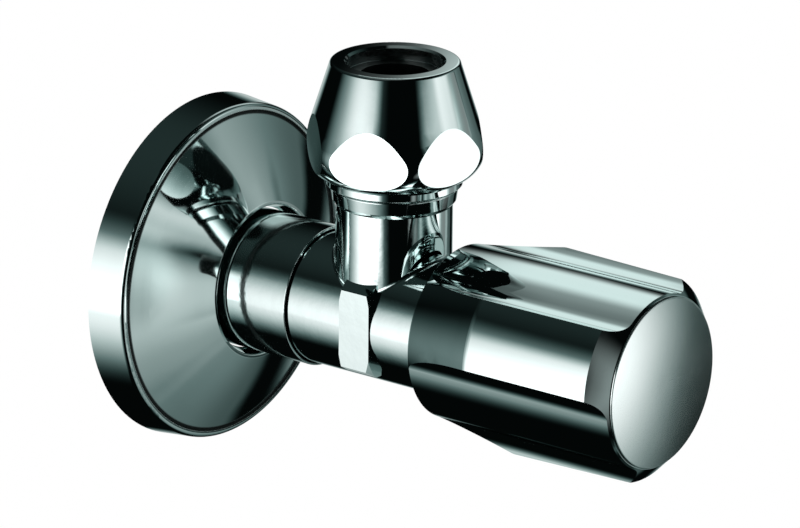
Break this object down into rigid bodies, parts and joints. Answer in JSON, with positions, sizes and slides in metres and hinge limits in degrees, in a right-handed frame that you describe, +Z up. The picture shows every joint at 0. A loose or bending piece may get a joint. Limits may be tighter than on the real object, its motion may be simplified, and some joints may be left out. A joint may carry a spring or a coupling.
{
  "type": "angle valve",
  "caption": "Chrome angle valve for under a basin: threaded wall inlet with a round rosette, upright compression outlet, and a three-lobed handle that opens it.",
  "frame": {"origin": "on the inlet axis, in the plane of the finished wall, which is the rosette's back edge", "axes": "+Y into the wall along the inlet thread, -Y out of the wall towards the handle, +Z up along the outlet"},
  "size_m": [0.054, 0.0958, 0.0669],
  "materials": {
    "chrome": "polished chrome plate",
    "satin_chrome": "satin chrome plate",
    "brass": "turned brass",
    "steel": "plain stainless steel",
    "rubber": "black moulded rubber",
    "white_plastic": "moulded plastic"
  },
  "bodies": {
    "body": {"valve_body": "chrome", "bonnet": "brass", "bonnet_seal": "rubber"},
    "handle": {"handle_grip": "chrome", "spline_bush": "white_plastic", "handle_screw": "steel", "handle_cap": "satin_chrome", "spindle": "brass", "slip_ring": "white_plastic", "spindle_o_ring_rear": "rubber", "spindle_o_ring_front": "rubber", "spindle_clip": "steel"},
    "plunger": {"plunger": "brass", "plunger_o_ring": "rubber", "seat_washer": "rubber", "washer_screw": "steel"},
    "ferrule": {"ferrule": "steel"},
    "union_nut": {"union_nut": "chrome"},
    "rosette": {"rosette": "chrome"},
    "cover_sleeve": {"cover_sleeve": "chrome"}
  },
  "joints": [
    {"name": "handle_turn", "type": "hinge", "parent": "body", "child": "handle", "pos_m": [0, -0.06, 0], "axis": [0, -1, 0], "range_deg": [0, 1080]},
    {"name": "plunger_lift", "type": "slide", "parent": "body", "child": "plunger", "axis": [0, -1, 0], "range_m": [0, 0.0045]},
    {"name": "nut_rise", "type": "slide", "parent": "body", "child": "ferrule", "axis": [0, 0, 1], "range_m": [0, 0.00668]},
    {"name": "nut_turn", "type": "hinge", "parent": "ferrule", "child": "union_nut", "pos_m": [0, -0.03756, 0.03], "axis": [0, 0, 1], "range_deg": [0, 1800]},
    {"name": "rosette_slide", "type": "slide", "parent": "body", "child": "rosette", "axis": [0, -1, 0], "range_m": [0, 0.014]},
    {"name": "sleeve_slide", "type": "slide", "parent": "body", "child": "cover_sleeve", "axis": [0, -1, 0], "range_m": [0, 0.003]}
  ],
  "couplings": [
    {"joint": "plunger_lift", "follows": "handle_turn", "m_per_rad": 0.00023873},
    {"joint": "nut_rise", "follows": "nut_turn", "m_per_rad": 0.00021279}
  ]
}
